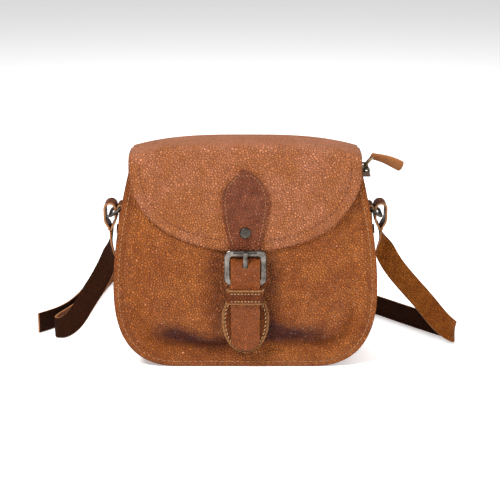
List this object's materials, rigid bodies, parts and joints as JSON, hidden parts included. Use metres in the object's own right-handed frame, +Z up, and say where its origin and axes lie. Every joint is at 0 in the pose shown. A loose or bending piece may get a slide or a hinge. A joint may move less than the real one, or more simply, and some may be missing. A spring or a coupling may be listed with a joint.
{
  "type": "sling bag",
  "caption": "Small leather sling bag with a curved front flap, a buckled magnetic closure tab, a zipped top and a thin adjustable shoulder strap on side rings.",
  "frame": {"origin": "on the table, at the middle of the bag's base", "axes": "+Z up; -Y towards the front with the buckle; +X towards the end with the zip pull"},
  "size_m": [0.3885, 0.3069, 0.2],
  "materials": {
    "body_leather": "pebbled tan leather, satin",
    "flap_leather": "pebbled red-tan leather, satin",
    "dark_leather": "pebbled red-brown leather, satin",
    "tan_leather": "smooth tan leather, satin",
    "strap_leather": "pebbled brown leather, satin",
    "thread": "waxed thread",
    "antique_metal": "antique silver, brushed",
    "rivet_metal": "antique silver",
    "zip_metal": "antique brass",
    "zip_tape": "woven tape",
    "lining_cloth": "plain cotton"
  },
  "bodies": {
    "bag": {"front_panel": "body_leather", "back_panel": "body_leather", "gusset": "body_leather", "lining": "lining_cloth", "slip_pocket": "lining_cloth", "front_seam_thread": "thread", "back_seam_thread": "thread", "top_strip_front": "body_leather", "top_strip_back": "body_leather", "zip_tape_front": "zip_tape", "zip_tape_back": "zip_tape", "zip_teeth_front": "zip_metal", "zip_teeth_back": "zip_metal", "zip_stops": "zip_metal", "flap_back_strip": "flap_leather", "snap_socket": "rivet_metal", "ring_tab_left": "body_leather", "ring_tab_right": "body_leather", "ring_rivet_left": "rivet_metal", "ring_rivet_right": "rivet_metal", "strap_loop_left": "strap_leather", "strap_loop_right": "strap_leather", "long_strap": "strap_leather", "short_strap": "strap_leather", "strap_buckle_frame": "antique_metal", "strap_keeper": "strap_leather"},
    "flap": {"flap": "flap_leather", "flap_thread": "thread", "leaf_patch": "dark_leather", "patch_thread": "thread", "flap_rivet": "rivet_metal", "rivet_washer": "rivet_metal"},
    "closure": {"closure_strap": "tan_leather", "base_tab": "dark_leather", "tab_thread": "thread", "keeper_loop": "dark_leather", "keeper_thread": "thread", "buckle_frame": "antique_metal", "snap_stud": "rivet_metal"},
    "buckle_roller": {"buckle_roller": "antique_metal"},
    "buckle_prong": {"buckle_prong": "antique_metal"},
    "zip_slider": {"zip_slider": "zip_metal"},
    "zip_pull": {"zip_link": "zip_metal", "zip_pull_tab": "body_leather"},
    "ring_right": {"ring_right": "antique_metal"},
    "ring_left": {"ring_left": "antique_metal"},
    "strap_prong": {"strap_buckle_prong": "antique_metal"}
  },
  "joints": [
    {"name": "flap_lift", "type": "hinge", "parent": "bag", "child": "flap", "pos_m": [0, 0.0374, 0.18785], "axis": [-1, 0, 0], "range_deg": [0, 110]},
    {"name": "closure_lift", "type": "hinge", "parent": "flap", "child": "closure", "pos_m": [0, -0.0433, 0.1115], "axis": [-1, 0, 0], "range_deg": [0, 70]},
    {"name": "roller_spin", "type": "hinge", "parent": "closure", "child": "buckle_roller", "pos_m": [0, -0.0471, 0.107], "axis": [1, 0, 0], "continuous": true},
    {"name": "prong_swing", "type": "hinge", "parent": "closure", "child": "buckle_prong", "pos_m": [0, -0.0451, 0.081], "axis": [1, 0, 0], "range_deg": [0, 12]},
    {"name": "zip_slide", "type": "slide", "parent": "bag", "child": "zip_slider", "axis": [-1, 0, 0], "range_m": [0, 0.194]},
    {"name": "zip_pull_lift", "type": "hinge", "parent": "zip_slider", "child": "zip_pull", "pos_m": [0.1043, 0, 0.1739], "axis": [0, -1, 0], "range_deg": [0, 65]},
    {"name": "ring_right_swing", "type": "hinge", "parent": "bag", "child": "ring_right", "pos_m": [0.1092, 0, 0.137], "axis": [0, -1, 0], "range_deg": [-12, 12]},
    {"name": "ring_left_swing", "type": "hinge", "parent": "bag", "child": "ring_left", "pos_m": [-0.1092, 0, 0.137], "axis": [0, 1, 0], "range_deg": [-12, 12]},
    {"name": "strap_prong_swing", "type": "hinge", "parent": "bag", "child": "strap_prong", "pos_m": [-0.09, 0.2457, 0.01395], "axis": [0, 0, 1], "range_deg": [0, 10]}
  ]
}
